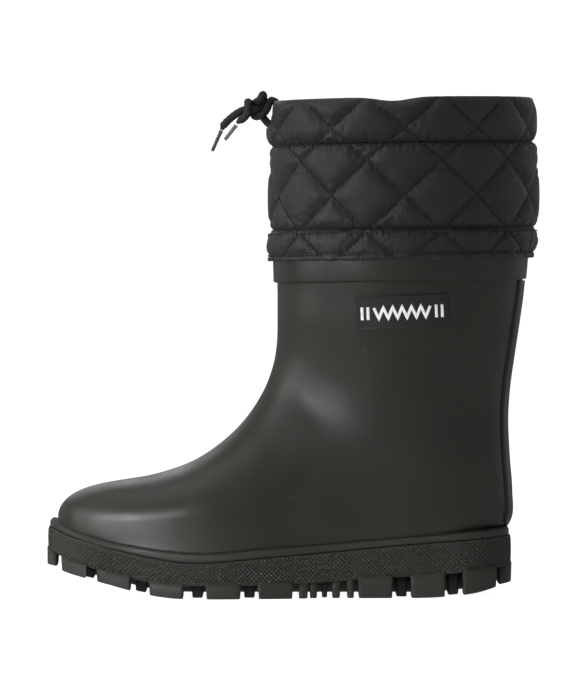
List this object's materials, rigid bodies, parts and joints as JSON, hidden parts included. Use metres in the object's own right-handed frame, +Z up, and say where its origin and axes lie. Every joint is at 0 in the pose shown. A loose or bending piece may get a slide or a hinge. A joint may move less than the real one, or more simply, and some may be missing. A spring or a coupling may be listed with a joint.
{
  "type": "winter rubber boot",
  "caption": "Left winter rubber boot with a lugged sole, a quilted padded collar, a drawcord tied at the front and a loose felt footbed.",
  "frame": {"origin": "on the ground, under the middle of the boot's box measured without its free cord", "axes": "+Z up, the toe points along -X and the heel along +X, the outer side of the left foot faces -Y"},
  "size_m": [0.29, 0.1248, 0.2974],
  "materials": {
    "upper_rubber": "satin black rubber",
    "trim_rubber": "satin black rubber, slightly glossier",
    "sole_rubber": "matte black moulded rubber",
    "label": null,
    "quilted_nylon": "black woven nylon with a faint sheen",
    "collar_cloth": "plain black cloth",
    "lining": "dark grey brushed lining",
    "felt": "dark grey felt",
    "foam": "grey foam rubber",
    "board": "tan fibre board",
    "stiffener": "tan stiffening sheet",
    "cord": "black braided cord",
    "aglet": "clear shrunk sleeve over black cord"
  },
  "bodies": {
    "boot": {"outsole": "sole_rubber", "foxing_strip": "sole_rubber", "sole_filler": "foam", "insole_board": "board", "upper_shell": "upper_rubber", "boot_lining": "lining", "heel_counter": "stiffener", "toe_puff": "stiffener", "heel_strip": "trim_rubber", "top_band": "trim_rubber", "side_label": "label", "collar_hem": "quilted_nylon", "collar_wall": "quilted_nylon", "collar_lining": "collar_cloth"},
    "footbed": {"footbed_foam": "foam", "footbed_felt": "felt"},
    "collar_top": {"collar_casing": "quilted_nylon", "drawcord_run": "cord"},
    "drawcord": {"cord_leg_upper": "cord", "cord_leg_lower": "cord", "cord_knot": "cord", "cord_ear": "cord", "cord_tail_front": "cord", "cord_tail_rear": "cord", "aglet_front": "aglet", "aglet_rear": "aglet"}
  },
  "joints": [
    {"name": "footbed_lift", "type": "hinge", "parent": "boot", "child": "footbed", "pos_m": [-0.125, 0, 0.0325], "axis": [0, -1, 0], "range_deg": [0, 8]},
    {"name": "collar_scrunch", "type": "slide", "parent": "boot", "child": "collar_top", "axis": [0, 0, -1], "range_m": [0, 0.03], "deforming": ["collar_wall", "collar_lining"]},
    {"name": "drawcord_pull", "type": "slide", "parent": "collar_top", "child": "drawcord", "axis": [-1, 0, 0], "range_m": [0, 0.005]}
  ]
}
